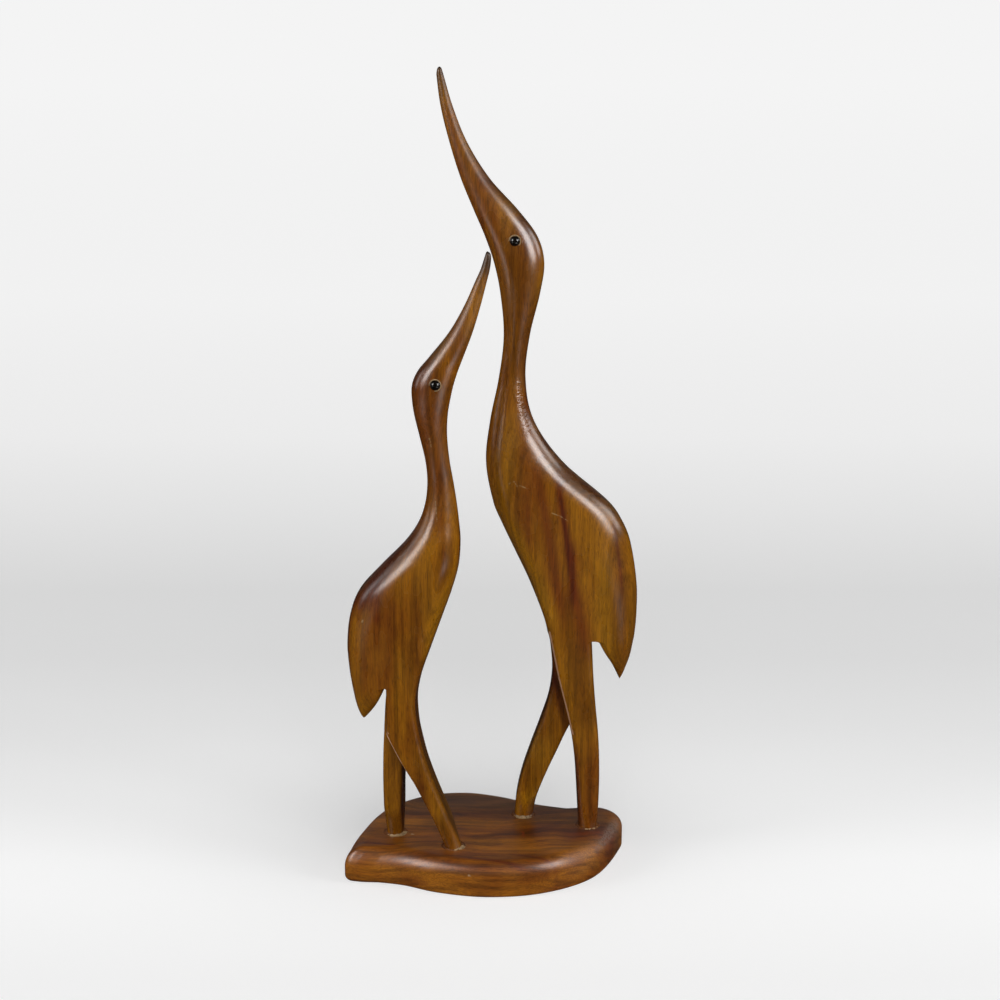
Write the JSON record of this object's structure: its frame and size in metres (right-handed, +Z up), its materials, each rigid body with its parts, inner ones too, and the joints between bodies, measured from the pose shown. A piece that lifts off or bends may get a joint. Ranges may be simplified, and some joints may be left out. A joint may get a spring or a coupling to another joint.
{
  "type": "pair of ibis sculptures",
  "caption": "Pair of long-billed wading birds carved from plank, one taller, facing each other with raised bills and striding legs on a leaf-shaped wooden base; a decorative table sculpture.",
  "frame": {"origin": "near the middle of the base's flat underside, at the level it stands on", "axes": "+Z up, the way the birds stand; +X towards the large bird's side; -Y towards the side the picture shows, with the base's broad rounded front"},
  "size_m": [0.14, 0.0888, 0.3816],
  "materials": {
    "base": "dark red-brown hardwood, satin lacquer",
    "bird_wood": "golden-brown hardwood, satin lacquer, grain upright",
    "eye": "polished black bead"
  },
  "bodies": {
    "root": {"base": "base", "small_bird": "bird_wood", "large_bird": "bird_wood", "small_bird_right_eye": "eye", "small_bird_left_eye": "eye", "large_bird_right_eye": "eye", "large_bird_left_eye": "eye"}
  },
  "joints": []
}
